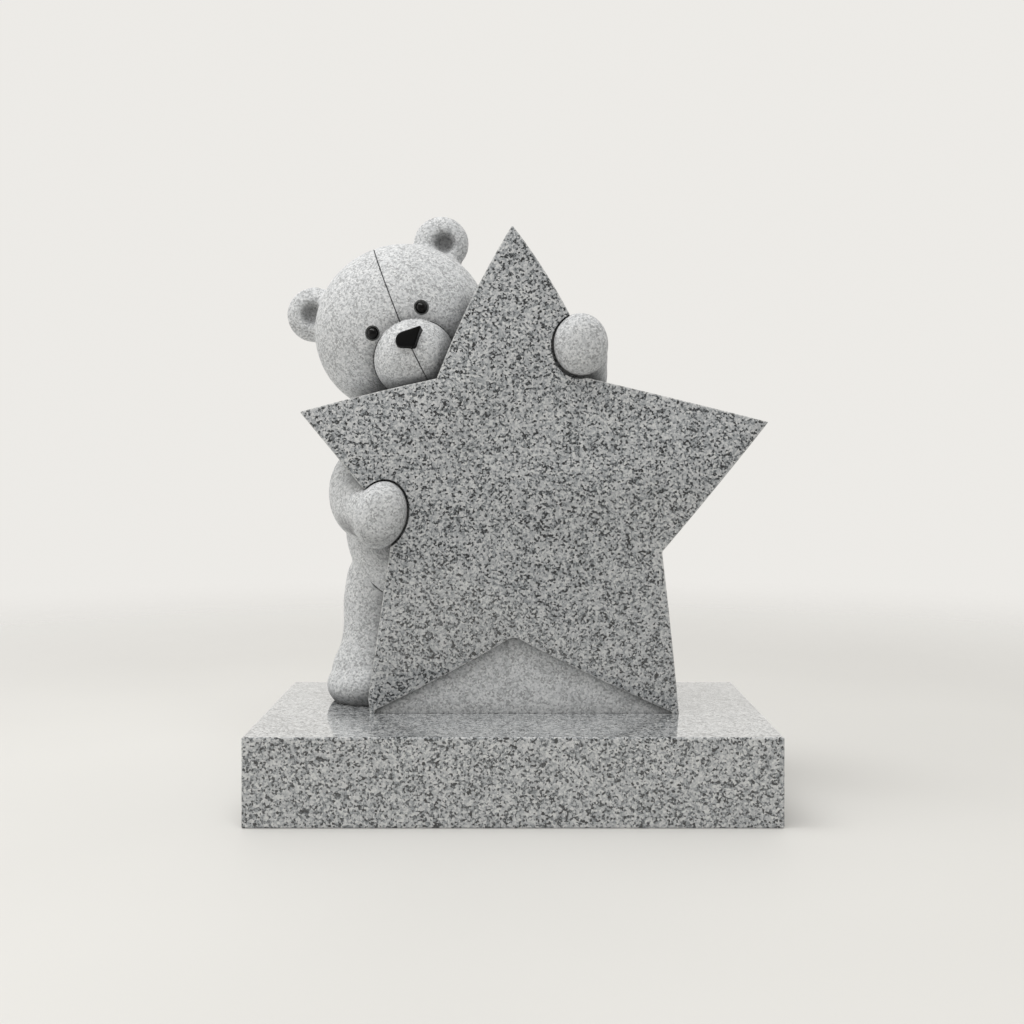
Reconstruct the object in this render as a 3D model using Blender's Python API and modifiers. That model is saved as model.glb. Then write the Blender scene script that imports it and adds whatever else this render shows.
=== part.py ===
import math

import bmesh
import bpy
from mathutils import Matrix, Vector

# Headstone: a teddy bear peeks round an upright star that stands on a rectangular plinth.
# Metres. +X is the viewer's right, +Y is away from the viewer and +Z is up.
# The origin is the centre of the plinth's underside.
# Places on the carved stone are (across, depth, height above the stone's own underside).

# Plinth
plinth_width = 0.610
plinth_depth = 0.356
plinth_height = 0.102
plinth_arris = 0.002

# Bed joint between the carved stone and the plinth, and how far forms run below it before the cut
bed_joint = 0.0003
below_bed = 0.012
bed_cutter_size = Vector((1.0, 1.0, 0.2))

# Star slab
star_front = -0.045
star_thickness = 0.070
star_arris = 0.0016

# Star corners: across and height. The top's right edge turns in under the right paw.
star_top = Vector((-0.0010, 0.5985))
star_under_paw = Vector((0.0755, 0.4771))
star_inner_right = Vector((0.0930, 0.4106))
star_arm_right = Vector((0.3130, 0.3570))
star_waist_right = Vector((0.1827, 0.1978))
star_foot_right_outer = Vector((0.2032, 0.0))
star_foot_right_inner = Vector((0.1950, 0.0015))
star_notch = Vector((0.0010, 0.0943))
star_foot_left_inner = Vector((-0.1692, 0.0040))
star_foot_left_outer = Vector((-0.1753, 0.0))
star_ankle_left = Vector((-0.1774, 0.018))
star_waist_left = Vector((-0.1463, 0.2303))
star_arm_left = Vector((-0.2614, 0.3695))
star_inner_left = Vector((-0.0935, 0.4104))
star_notch_rounding = 0.008

# How far each edge bows outwards in its middle, and how many chords make a bow or a rounded corner
star_top_right_bow = 0.0036
star_arm_right_top_bow = 0.0006
star_arm_right_foot_bow = 0.0010
star_leg_right_bow = 0.0008
star_notch_bow = 0.0022
star_arm_left_top_bow = 0.0013
star_top_left_bow = 0.0048
bow_chords = 6
corner_chords = 4

# Backing web between the star's feet, set back from the star's face
backing_corners = (
    (-0.1720, -below_bed),
    (-0.1570, 0.055),
    (-0.100, 0.150),
    (0.120, 0.150),
    (0.1840, 0.055),
    (0.1990, -below_bed),
)
backing_set_back_foot = 0.004
backing_set_back_top = 0.018
backing_back = 0.020

# Head: rolled towards the viewer's right, set behind the star's left arm
head_centre = Vector((-0.1460, 0.078, 0.4825))
head_radii = Vector((0.1155, 0.094, 0.1105))
head_roll = math.radians(28.0)

# Muzzle, ears and eyes, placed in the head's own axes: across, depth, up
muzzle_place = Vector((-0.0011, -0.064, -0.0463))
muzzle_radii = Vector((0.0527, 0.056, 0.0522))
ear_left_place = Vector((-0.0938, 0.010, 0.0725))
ear_right_place = Vector((0.0983, 0.010, 0.0766))
ear_radius = 0.0366
ear_half_thickness = 0.017
ear_hollow_radius = 0.0180
ear_hollow_depth = 0.0110
ear_hollow_out = 0.004
face_line = 0.0019
eye_across = 0.0337
eye_up = 0.0018
eye_radius = 0.0093
eye_proud = 0.0050

# Nose: a rounded three-sided block let into the upper front of the muzzle and square to it
nose_across = 0.0055
nose_up = 0.0190
nose_top_left = Vector((-0.0148, 0.0051))
nose_top_middle = Vector((-0.0072, 0.0109))
nose_top_right = Vector((0.0214, 0.0050))
nose_foot = Vector((0.0023, -0.0171))
nose_side_left = Vector((-0.0169, -0.0047))
nose_top_rounding = 0.0048
nose_round_corner = 0.0045
nose_tight_corner = 0.0020
nose_arris = 0.0016
nose_proud = 0.0055
nose_set_in = 0.0075
socket_clearance = 0.0003

# Paws on the star's face, with the gutter cut round each
paw_left_place = Vector((-0.1622, -0.035, 0.2431))
paw_left_radii = Vector((0.0320, 0.036, 0.0425))
paw_left_roll = math.radians(-15.0)
paw_right_place = Vector((0.0832, -0.030, 0.4524))
paw_right_radii = Vector((0.0343, 0.036, 0.0392))
paw_right_roll = 0.0
gutter_left_width = 0.0042
gutter_right_width = 0.0065
gutter_depth = 0.008

# Body and upper arm: rounded forms, each a place and three radii
belly_place = Vector((-0.1080, 0.078, 0.225))
belly_radii = Vector((0.1120, 0.094, 0.118))
chest_place = Vector((-0.1240, 0.078, 0.325))
chest_radii = Vector((0.0800, 0.074, 0.088))
elbow_place = Vector((-0.1930, 0.046, 0.2680))
elbow_radii = Vector((0.0450, 0.044, 0.0600))
upper_arm_place = Vector((-0.1800, 0.068, 0.3150))
upper_arm_radii = Vector((0.0440, 0.046, 0.0760))

# Forearms and legs: each stop is (across, depth, height, radius)
forearm_left_stops = (
    (-0.1950, 0.034, 0.2600, 0.0390),
    (-0.1870, 0.008, 0.2520, 0.0390),
    (-0.1720, -0.020, 0.2460, 0.0370),
)
arm_right_stops = (
    (-0.0950, 0.076, 0.3300, 0.0440),
    (-0.0350, 0.070, 0.3560, 0.0420),
    (0.0250, 0.060, 0.3820, 0.0400),
    (0.0785, 0.036, 0.4070, 0.0400),
    (0.0825, 0.010, 0.4330, 0.0375),
    (0.0832, -0.016, 0.4480, 0.0345),
)
leg_left_stops = (
    (-0.1720, 0.083, 0.1500, 0.0480),
    (-0.1745, 0.077, 0.1230, 0.0485),
    (-0.1757, 0.070, 0.0900, 0.0465),
    (-0.1780, 0.064, 0.0580, 0.0485),
    (-0.1830, 0.058, 0.0330, 0.0530),
)
leg_right_stops = (
    (-0.0590, 0.080, 0.1560, 0.0480),
    (-0.0480, 0.074, 0.1250, 0.0485),
    (-0.0440, 0.070, 0.0900, 0.0465),
    (-0.0430, 0.066, 0.0580, 0.0485),
    (-0.0430, 0.064, 0.0330, 0.0530),
)
toe_radii = Vector((0.0575, 0.0575, 0.0370))
toe_left_place = Vector((-0.1830, 0.050, 0.0207))
toe_right_place = Vector((-0.0440, 0.052, 0.0207))

stone_lift = plinth_height + bed_joint


def clear_scene():
    for old in list(bpy.data.objects):
        bpy.data.objects.remove(old, do_unlink=True)


def new_collection(name, parent):
    made = bpy.data.collections.new(name)
    parent.children.link(made)
    return made


def new_object(name, bm, collection):
    bmesh.ops.recalc_face_normals(bm, faces=bm.faces)
    if bm.calc_volume(signed=True) < 0.0:
        bmesh.ops.reverse_faces(bm, faces=bm.faces)
    mesh = bpy.data.meshes.new(name)
    bm.to_mesh(mesh)
    bm.free()
    made = bpy.data.objects.new(name, mesh)
    collection.objects.link(made)
    return made


def as_helper(made):
    made.hide_render = True
    made.display_type = "WIRE"
    return made


def give_material(made, name, colour, roughness, coat=0.0):
    material = bpy.data.materials.new(name)
    material.use_nodes = True
    shader = material.node_tree.nodes["Principled BSDF"]
    shader.inputs["Base Color"].default_value = (*colour, 1.0)
    shader.inputs["Roughness"].default_value = roughness
    shader.inputs["Coat Weight"].default_value = coat
    made.data.materials.append(material)


def add_boolean(made, operation, name, collection):
    step = made.modifiers.new(name, "BOOLEAN")
    step.operation = operation
    step.operand_type = "COLLECTION"
    step.collection = collection
    step.solver = "EXACT"


def add_bevel(made, width, segments):
    step = made.modifiers.new("Arris", "BEVEL")
    step.width = width
    step.segments = segments
    step.limit_method = "ANGLE"
    step.angle_limit = math.radians(30.0)


def from_head(place):
    # Head axes: across runs with the eyes, depth away from the viewer, up to the crown
    turn = Matrix.Rotation(-head_roll, 4, "Y")
    return head_centre + turn @ Vector(place)


def ball(name, place, radii, roll, around, rings, collection):
    # The poles lie front and back, so the outline from the front is even
    lay_down = Matrix.Rotation(math.radians(90.0), 4, "X")
    turn = Matrix.Rotation(-roll, 4, "Y")
    size = Matrix.Diagonal((*radii, 1.0))
    lift = Matrix.Translation(Vector(place) + Vector((0.0, 0.0, stone_lift)))
    bm = bmesh.new()
    bmesh.ops.create_uvsphere(bm, u_segments=around, v_segments=rings, radius=1.0)
    bmesh.ops.transform(bm, matrix=lift @ turn @ size @ lay_down, verts=bm.verts)
    return as_helper(new_object(name, bm, collection))


def round_end(stop, outward):
    turns = [math.radians(angle) for angle in (25.0, 50.0, 70.0, 84.0)]
    return [(stop.xyz + outward * stop.w * math.sin(a), stop.w * math.cos(a)) for a in turns]


def limb_stops(stops, steps):
    # Evenly spaced stops on a smooth line through the given ones, with round ends
    ends = (Vector(stops[0]) * 2 - Vector(stops[1]), Vector(stops[-1]) * 2 - Vector(stops[-2]))
    chain = [ends[0], *[Vector(stop) for stop in stops], ends[1]]
    smooth = []
    for i in range(1, len(chain) - 2):
        a, b, c, d = chain[i - 1 : i + 3]
        for k in range(steps):
            t = k / steps
            smooth.append(
                b
                + (c - a) * (0.5 * t)
                + (a * 2 - b * 5 + c * 4 - d) * (0.5 * t * t)
                + (b * 3 - a - c * 3 + d) * (0.5 * t**3)
            )
    smooth.append(chain[-2])
    first = (smooth[0] - smooth[1]).xyz.normalized()
    last = (smooth[-1] - smooth[-2]).xyz.normalized()
    middle = [(stop.xyz, stop.w) for stop in smooth]
    return [*reversed(round_end(smooth[0], first)), *middle, *round_end(smooth[-1], last)]


def limb(name, stops, steps, collection):
    curve = bpy.data.curves.new(name + "_path", "CURVE")
    curve.dimensions = "3D"
    curve.bevel_depth = 1.0
    curve.bevel_resolution = 3
    curve.use_fill_caps = True
    path = limb_stops(stops, steps)
    spline = curve.splines.new("POLY")
    spline.points.add(len(path) - 1)
    for point, (place, radius) in zip(spline.points, path):
        point.co = (place.x, place.y, place.z + stone_lift, 1.0)
        point.radius = radius
    guide = bpy.data.objects.new(name + "_path", curve)
    collection.objects.link(guide)
    bpy.context.view_layer.update()
    graph = bpy.context.evaluated_depsgraph_get()
    mesh = bpy.data.meshes.new_from_object(guide.evaluated_get(graph))
    bpy.data.objects.remove(guide, do_unlink=True)
    bm = bmesh.new()
    bm.from_mesh(mesh)
    bpy.data.meshes.remove(mesh)
    bmesh.ops.remove_doubles(bm, verts=bm.verts, dist=0.00005)
    return as_helper(new_object(name, bm, collection))


def rounded_corner(before, here, after, rounding, chords):
    # A curve that leaves one side and joins the next at the same distance from the corner
    start = here + (before - here).normalized() * rounding
    end = here + (after - here).normalized() * rounding
    steps = [k / chords for k in range(chords + 1)]
    return [start * (1 - t) ** 2 + here * (2 * t * (1 - t)) + end * t**2 for t in steps]


def star_outline():
    # Clockwise from the top: each corner with the bow of the edge that follows it
    foot = Vector((0.0, below_bed))
    corners = (
        (star_top, star_top_right_bow),
        (star_under_paw, 0.0),
        (star_inner_right, star_arm_right_top_bow),
        (star_arm_right, star_arm_right_foot_bow),
        (star_waist_right, star_leg_right_bow),
        (star_foot_right_outer, 0.0),
        (star_foot_right_outer - foot, 0.0),
        (star_foot_right_inner - foot, 0.0),
        (star_foot_right_inner, star_notch_bow),
        (star_notch, star_notch_bow),
        (star_foot_left_inner, 0.0),
        (star_foot_left_inner - foot, 0.0),
        (star_foot_left_outer - foot, 0.0),
        (star_foot_left_outer, 0.0),
        (star_ankle_left, 0.0),
        (star_waist_left, 0.0),
        (star_arm_left, star_arm_left_top_bow),
        (star_inner_left, star_top_left_bow),
    )
    points = []
    for i, (here, bow) in enumerate(corners):
        before = corners[i - 1][0]
        after = corners[(i + 1) % len(corners)][0]
        if here is star_notch:
            points += rounded_corner(before, here, after, star_notch_rounding, corner_chords)
        else:
            points.append(here)
        along = after - here
        outward = Vector((-along.y, along.x)).normalized()
        for k in range(1, bow_chords if bow else 1):
            t = k / bow_chords
            points.append(here + along * t + outward * (4 * bow * t * (1 - t)))
    return points


def slab(name, outline, front, back, collection):
    # front and back give the depth of the two faces at a height
    bm = bmesh.new()
    near = [bm.verts.new((p.x, front(p.y), p.y + stone_lift)) for p in outline]
    bm.faces.new(near)
    far = [bm.verts.new((p.x, back(p.y), p.y + stone_lift)) for p in outline]
    bm.faces.new(list(reversed(far)))
    for i in range(len(outline)):
        j = (i + 1) % len(outline)
        bm.faces.new((near[i], far[i], far[j], near[j]))
    return new_object(name, bm, collection)


def gutter(name, place, radii, roll, width, collection):
    # A grown copy of the paw, kept only as deep as the gutter
    grown = Vector(radii) + Vector((width, width, width))
    made = ball(name, place, grown, roll, 32, 16, collection)
    bm = bmesh.new()
    bm.from_mesh(made.data)
    cut = bmesh.ops.bisect_plane(
        bm,
        geom=[*bm.verts, *bm.edges, *bm.faces],
        plane_co=(0.0, star_front + gutter_depth, 0.0),
        plane_no=(0.0, 1.0, 0.0),
        clear_outer=True,
    )
    rim = [item for item in cut["geom_cut"] if isinstance(item, bmesh.types.BMEdge)]
    bmesh.ops.edgeloop_fill(bm, edges=rim)
    bmesh.ops.recalc_face_normals(bm, faces=bm.faces)
    bm.to_mesh(made.data)
    bm.free()


def ear(name, place, collection, cutters):
    radii = (ear_radius, ear_half_thickness, ear_radius)
    made = ball(name, from_head(place), radii, head_roll, 24, 12, collection)
    # The hollow is a shallow bowl of the wanted width and depth
    bowl = (ear_hollow_radius**2 + ear_hollow_depth**2) / (2 * ear_hollow_depth)
    out = Vector((math.copysign(ear_hollow_out, place.x), 0.0, ear_hollow_out))
    back = Vector((0.0, ear_hollow_depth - ear_half_thickness - bowl, 0.0))
    ball(name + "_hollow", from_head(place + out + back), (bowl, bowl, bowl), 0.0, 28, 14, cutters)
    add_boolean(made, "DIFFERENCE", "Hollow", cutters)


def eye_centre(side):
    # The depth at which the bead stands proud of the head's surface
    across = face_line + side * eye_across
    inside = 1.0 - (across / head_radii.x) ** 2 - (eye_up / head_radii.z) ** 2
    surface = -head_radii.y * math.sqrt(inside)
    return from_head((across, surface + eye_radius - eye_proud, eye_up))


def nose_frame():
    # The point of the muzzle's surface that carries the nose, tipped back to lie square to it
    rise = nose_up / muzzle_radii.z
    side = nose_across / muzzle_radii.x
    depth = muzzle_radii.y * math.sqrt(1.0 - rise**2 - side**2)
    tip = math.atan2(rise / muzzle_radii.z, depth / muzzle_radii.y**2)
    place = from_head(muzzle_place + Vector((nose_across, -depth, nose_up)))
    lift = Matrix.Translation(place + Vector((0.0, 0.0, stone_lift)))
    return lift @ Matrix.Rotation(-head_roll, 4, "Y") @ Matrix.Rotation(-tip, 4, "X")


def nose_shape(name, grow, collection):
    # grow widens the block all round, for the pocket that it is let into
    corners = (
        (nose_top_left, nose_round_corner),
        (nose_top_middle, nose_top_rounding),
        (nose_top_right, nose_tight_corner),
        (nose_foot, nose_round_corner),
        (nose_side_left, nose_round_corner),
    )
    centre = sum((corner for corner, rounding in corners), Vector((0.0, 0.0))) / len(corners)
    outline = []
    for i, (here, rounding) in enumerate(corners):
        before = corners[i - 1][0]
        after = corners[(i + 1) % len(corners)][0]
        outline += rounded_corner(before, here, after, rounding, corner_chords)
    outline = [point + (point - centre).normalized() * grow for point in outline]
    near = -nose_proud - grow
    far = nose_set_in + grow
    bm = bmesh.new()
    face = bm.faces.new([bm.verts.new((point.x, near, point.y)) for point in outline])
    pulled = bmesh.ops.extrude_face_region(bm, geom=[face])
    moved = [item for item in pulled["geom"] if isinstance(item, bmesh.types.BMVert)]
    bmesh.ops.translate(bm, vec=(0.0, far - near, 0.0), verts=moved)
    bmesh.ops.recalc_face_normals(bm, faces=bm.faces)
    rim = [edge for edge in bm.edges if all(vert.co.y == face.verts[0].co.y for vert in edge.verts)]
    bmesh.ops.bevel(
        bm,
        geom=rim,
        offset=nose_arris,
        affect="EDGES",
        segments=2,
        profile=0.5,
        material=-1,
    )
    bmesh.ops.transform(bm, matrix=nose_frame(), verts=bm.verts)
    return new_object(name, bm, collection)


def make_plinth(collection):
    bm = bmesh.new()
    size = Matrix.Diagonal((plinth_width, plinth_depth, plinth_height, 1.0))
    lift = Matrix.Translation((0.0, 0.0, plinth_height / 2))
    bmesh.ops.create_cube(bm, size=1.0, matrix=lift @ size)
    made = new_object("plinth", bm, collection)
    add_bevel(made, plinth_arris, 2)
    give_material(made, "polished_granite", (0.30, 0.30, 0.30), 0.18)


def make_stone(collection, helpers):
    grooves = new_collection("gutter_cutters", helpers)
    forms = new_collection("bear_forms", helpers)
    left_hollow = new_collection("ear_left_cutters", helpers)
    right_hollow = new_collection("ear_right_cutters", helpers)
    sockets = new_collection("socket_cutters", helpers)

    star_back = star_front + star_thickness
    stone = slab("star_and_bear", star_outline(), lambda z: star_front, lambda z: star_back, collection)
    add_bevel(stone, star_arris, 2)
    gutter("gutter_left", paw_left_place, paw_left_radii, paw_left_roll, gutter_left_width, grooves)
    gutter("gutter_right", paw_right_place, paw_right_radii, paw_right_roll, gutter_right_width, grooves)
    add_boolean(stone, "DIFFERENCE", "Gutters", grooves)

    top = max(corner[1] for corner in backing_corners)
    slope = (backing_set_back_top - backing_set_back_foot) / top
    foot = star_front + backing_set_back_foot
    outline = [Vector(corner) for corner in reversed(backing_corners)]
    as_helper(slab("backing", outline, lambda z: foot + slope * z, lambda z: backing_back, forms))

    ball("head", head_centre, head_radii, head_roll, 40, 20, forms)
    ball("muzzle", from_head(muzzle_place), muzzle_radii, head_roll, 28, 14, forms)
    ear("ear_left", ear_left_place, forms, left_hollow)
    ear("ear_right", ear_right_place, forms, right_hollow)
    ball("belly", belly_place, belly_radii, 0.0, 28, 14, forms)
    ball("chest", chest_place, chest_radii, 0.0, 28, 14, forms)
    ball("upper_arm_left", upper_arm_place, upper_arm_radii, 0.0, 24, 12, forms)
    ball("elbow_left", elbow_place, elbow_radii, 0.0, 28, 14, forms)
    limb("forearm_left", forearm_left_stops, 3, forms)
    limb("arm_right", arm_right_stops, 2, forms)
    ball("paw_left", paw_left_place, paw_left_radii, paw_left_roll, 28, 14, forms)
    ball("paw_right", paw_right_place, paw_right_radii, paw_right_roll, 28, 14, forms)
    limb("leg_left", leg_left_stops, 2, forms)
    limb("leg_right", leg_right_stops, 2, forms)
    ball("toe_left", toe_left_place, toe_radii, 0.0, 22, 11, forms)
    ball("toe_right", toe_right_place, toe_radii, 0.0, 20, 10, forms)
    add_boolean(stone, "UNION", "Bear", forms)

    for name, side in (("eye_left", -1), ("eye_right", 1)):
        radius = eye_radius + socket_clearance
        ball(name + "_socket", eye_centre(side), (radius, radius, radius), 0.0, 20, 10, sockets)
    as_helper(nose_shape("nose_pocket", socket_clearance, sockets))
    bm = bmesh.new()
    size = Matrix.Diagonal((*bed_cutter_size, 1.0))
    lift = Matrix.Translation((0.0, 0.0, stone_lift - bed_cutter_size.z / 2))
    bmesh.ops.create_cube(bm, size=1.0, matrix=lift @ size)
    as_helper(new_object("below_the_bed", bm, sockets))
    add_boolean(stone, "DIFFERENCE", "Sockets_and_bed", sockets)
    give_material(stone, "carved_granite", (0.42, 0.42, 0.42), 0.6)


def make_insets(collection):
    for name, side in (("eye_left", -1), ("eye_right", 1)):
        made = ball(name, eye_centre(side), (eye_radius, eye_radius, eye_radius), 0.0, 20, 10, collection)
        made.hide_render = False
        made.display_type = "TEXTURED"
        give_material(made, name + "_glass", (0.012, 0.010, 0.009), 0.08, 1.0)
    nose = nose_shape("nose", 0.0, collection)
    give_material(nose, "nose_black_granite", (0.010, 0.010, 0.011), 0.10, 1.0)


clear_scene()
scene_root = bpy.context.scene.collection
headstone = new_collection("teddy_bear_headstone", scene_root)
helper_shapes = new_collection("helpers", scene_root)
make_plinth(headstone)
make_stone(headstone, helper_shapes)
make_insets(headstone)
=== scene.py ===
import math

import bmesh
import bpy
from mathutils import Matrix, Vector
from mathutils.bvhtree import BVHTree


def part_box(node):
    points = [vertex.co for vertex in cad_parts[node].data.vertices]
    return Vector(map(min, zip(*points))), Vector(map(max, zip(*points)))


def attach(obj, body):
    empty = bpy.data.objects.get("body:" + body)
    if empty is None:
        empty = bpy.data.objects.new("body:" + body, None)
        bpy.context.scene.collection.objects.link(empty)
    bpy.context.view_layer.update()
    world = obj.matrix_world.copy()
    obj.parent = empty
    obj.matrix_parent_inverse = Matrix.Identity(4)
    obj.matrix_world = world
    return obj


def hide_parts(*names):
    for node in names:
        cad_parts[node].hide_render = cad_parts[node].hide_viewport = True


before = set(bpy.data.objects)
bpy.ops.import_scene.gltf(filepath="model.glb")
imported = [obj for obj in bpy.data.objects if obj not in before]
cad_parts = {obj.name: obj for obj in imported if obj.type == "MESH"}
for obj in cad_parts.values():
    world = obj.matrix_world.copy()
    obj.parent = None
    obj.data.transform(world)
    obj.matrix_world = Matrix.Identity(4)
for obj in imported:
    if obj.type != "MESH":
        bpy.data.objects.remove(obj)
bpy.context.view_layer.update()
print("frame loaded:", ", ".join(sorted(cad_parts)))

scene = bpy.context.scene
scene.view_settings.view_transform = "Standard"  # the greys come out as they are mixed
scene.view_settings.look = "None"

# Places on the carved stone are across, depth and height above its own underside
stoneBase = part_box("star_and_bear")[0][2]

star = {
    "front": -0.045,
    "thickness": 0.070,
    "arris": 0.0016,
    "bowChords": 12,
    "roundChords": 6,
    # across, height, bow of the edge that follows, rounding of the corner; clockwise from the top
    "corners": (
        (-0.0010, 0.5985, 0.0036, 0.0),
        (0.0755, 0.4771, 0.0, 0.0),  # turned in under the right paw
        (0.0930, 0.4106, 0.0006, 0.0),
        (0.3130, 0.3570, 0.0010, 0.0),
        (0.1827, 0.1978, 0.0008, 0.0),
        (0.2032, 0.0, 0.0, 0.0),
        (0.2032, -0.012, 0.0, 0.0),
        (0.1950, -0.012, 0.0, 0.0),
        (0.1950, 0.0015, 0.0022, 0.0),
        (0.0010, 0.0943, 0.0022, 0.008),
        (-0.1692, 0.0040, 0.0, 0.0),
        (-0.1692, -0.012, 0.0, 0.0),
        (-0.1753, -0.012, 0.0, 0.0),
        (-0.1753, 0.0, 0.0, 0.0),
        (-0.1774, 0.018, 0.0, 0.0),
        (-0.1463, 0.2303, 0.0, 0.0),
        (-0.2614, 0.3695, 0.0013, 0.0),
        (-0.0935, 0.4104, 0.0048, 0.0),
    ),
}

backing = {
    "corners": (
        (-0.1720, -0.012),
        (-0.1570, 0.055),
        (-0.100, 0.150),
        (0.120, 0.150),
        (0.1840, 0.055),
        (0.1990, -0.012),
    ),
    "setBackFoot": 0.004,
    "setBackTop": 0.018,
    "back": 0.020,
}

head = {
    "centre": Vector((-0.1460, 0.078, 0.4825)),
    "radii": Vector((0.1155, 0.094, 0.1105)),
    "roll": math.radians(28.0),
}

muzzle = {
    "place": Vector((-0.0011, -0.064, -0.0463)),  # in the head's axes, as the next two
    "radii": Vector((0.0527, 0.056, 0.0522)),
}

ears = {
    "places": (Vector((-0.0938, 0.010, 0.0725)), Vector((0.0983, 0.010, 0.0766))),
    "hollows": (Vector((-0.0024, 0.0, 0.0004)), Vector((0.0040, 0.0, -0.0028))),  # from the ears' middles
    "radius": 0.0366,
    "halfThickness": 0.017,
    "hollowRadius": 0.0180,
    "hollowDepth": 0.0118,
    "hollowPaintedShades": (0.54, 0.34),  # painted shade: how much of its paleness the stone keeps in each hollow's middle
    "paintedShadeReach": (0.45, 1.05),  # painted shade's reach, in hollow radii, from fully dark to pale again
}

eyes = {
    "faceLine": 0.0019,
    "across": 0.0337,
    "up": 0.0018,
    "radius": 0.0093,
    "proud": 0.0050,
    "clearance": 0.0003,
    # half section from the back to the tip: distance from the axis, height along it from the middle
    "collar": ((0.0093, 0.0000), (0.0093, 0.0030), (0.0090, 0.0034), (0.0080, 0.0034), (0.0076, 0.0026)),
    "bead": 0.0073,
    "beadHeight": 0.0019,
}

nose = {
    "across": 0.0055,
    "up": 0.0190,
    # corners square to the muzzle: across, up, rounding
    "corners": (
        (-0.0148, 0.0051, 0.0045),
        (-0.0072, 0.0109, 0.0048),
        (0.0214, 0.0050, 0.0020),
        (0.0023, -0.0171, 0.0045),
        (-0.0169, -0.0047, 0.0045),
    ),
    "roundChords": 8,
    "arris": 0.0021,
    "dome": 0.0004,  # how far the polished face swells in its middle
    "proud": 0.0055,
    "setIn": 0.0075,
    "clearance": 0.0003,
}

paws = {
    # place, radii, roll, width of the gutter round it and where the gutter's middle lies from the paw's
    "left": (
        Vector((-0.1622, -0.035, 0.2431)),
        Vector((0.0320, 0.034, 0.0425)),
        math.radians(-15.0),
        0.0024,
        Vector((0.0008, 0.0, 0.0)),
    ),
    "right": (
        Vector((0.0832, -0.030, 0.4524)),
        Vector((0.0343, 0.034, 0.0392)),
        0.0,
        0.0028,
        Vector((-0.0008, 0.0, -0.0020)),
    ),
    "gutterDepth": 0.008,
    "flatness": 2.8,  # 2 is a plain ball; higher makes the pad's face flatter and its rim tighter
}

body = {
    "voxel": 0.0029,
    "smoothing": 4,
    "limbSteps": 7,  # balls from one stop of a limb to the next
    # rounded forms: place, radii
    "balls": (
        (Vector((-0.1080, 0.078, 0.225)), Vector((0.1120, 0.094, 0.118))),  # belly
        (Vector((-0.1240, 0.078, 0.325)), Vector((0.0800, 0.074, 0.088))),  # chest
        (Vector((-0.1800, 0.068, 0.3150)), Vector((0.0440, 0.046, 0.0760))),  # upper arm
        (Vector((-0.1930, 0.046, 0.2680)), Vector((0.0450, 0.044, 0.0600))),  # elbow
        (Vector((-0.1830, 0.050, 0.0207)), Vector((0.0575, 0.0575, 0.0370))),  # toes
        (Vector((-0.0440, 0.052, 0.0207)), Vector((0.0575, 0.0575, 0.0370))),
    ),
    # limbs: across, depth, height, radius at each stop
    "limbs": (
        (
            (-0.1950, 0.034, 0.2600, 0.0390),
            (-0.1870, 0.008, 0.2520, 0.0390),
            (-0.1720, -0.020, 0.2460, 0.0370),
        ),
        (
            (-0.0950, 0.076, 0.3300, 0.0440),
            (-0.0350, 0.070, 0.3560, 0.0420),
            (0.0250, 0.060, 0.3820, 0.0400),
            (0.0765, 0.036, 0.4070, 0.0390),
            (0.0815, 0.010, 0.4330, 0.0378),
            (0.0832, -0.016, 0.4480, 0.0345),
        ),
        (
            (-0.1720, 0.083, 0.1500, 0.0480),
            (-0.1745, 0.077, 0.1230, 0.0485),
            (-0.1757, 0.070, 0.0900, 0.0465),
            (-0.1780, 0.064, 0.0580, 0.0485),
            (-0.1830, 0.058, 0.0330, 0.0530),
        ),
        (
            (-0.0590, 0.080, 0.1560, 0.0480),
            (-0.0480, 0.074, 0.1250, 0.0485),
            (-0.0440, 0.070, 0.0900, 0.0465),
            (-0.0430, 0.066, 0.0580, 0.0485),
            (-0.0430, 0.064, 0.0330, 0.0530),
        ),
    ),
}

seams = {
    "radius": 0.0010,  # of the round chisel line
    "sunk": 0.0006,  # its centre below the surface
    # the head's seam: across at the face, wandering across as it climbs, degrees from the face over the crown
    "start": 0.0048,
    "lean": 0.113,
    "headTurns": (-8, 192),
    # the same for the line from the nose down over the muzzle
    "mouthStart": 0.0035,
    "mouthLean": 0.03,
    "mouthTurns": (6, -82),
    # degrees round the muzzle, from the head's right over its crown; the rubbed crown has no line
    "ringArcs": ((-12, 40), (118, 222)),
    "taper": 10,  # a chisel line runs out over this many points at a soft end
    "tip": 0.25,  # and is this share of its width at the very end
    # the fold between belly and thigh: across, height
    "fold": ((-0.1840, 0.1550), (-0.1780, 0.1490), (-0.1720, 0.1440), (-0.1670, 0.1410)),
}


def linear(hexColour):
    # sRGB hex to linear RGBA
    parts = [int(hexColour[i : i + 2], 16) / 255 for i in (1, 3, 5)]
    return (*[p / 12.92 if p <= 0.04045 else ((p + 0.055) / 1.055) ** 2.4 for p in parts], 1.0)


def addNode(tree, kind, settings=None, links=None):
    # settings: property names or input names to values; links: input name or number to a socket
    node = tree.nodes.new(kind)
    for key, value in (settings or {}).items():
        if key in node.inputs:
            node.inputs[key].default_value = value
        else:
            setattr(node, key, value)
    for key, socket in (links or {}).items():
        tree.links.new(socket, node.inputs[key])
    return node


def newMaterial(name):
    material = bpy.data.materials.new(name)
    material.use_nodes = True
    tree = material.node_tree
    return material, tree, tree.nodes["Principled BSDF"]


def setRamp(node, stops):
    ramp = node.color_ramp
    while len(ramp.elements) < len(stops):
        ramp.elements.new(0.5)
    for element, (at, colour) in zip(ramp.elements, stops):
        element.position = at
        element.color = linear(colour)


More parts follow.
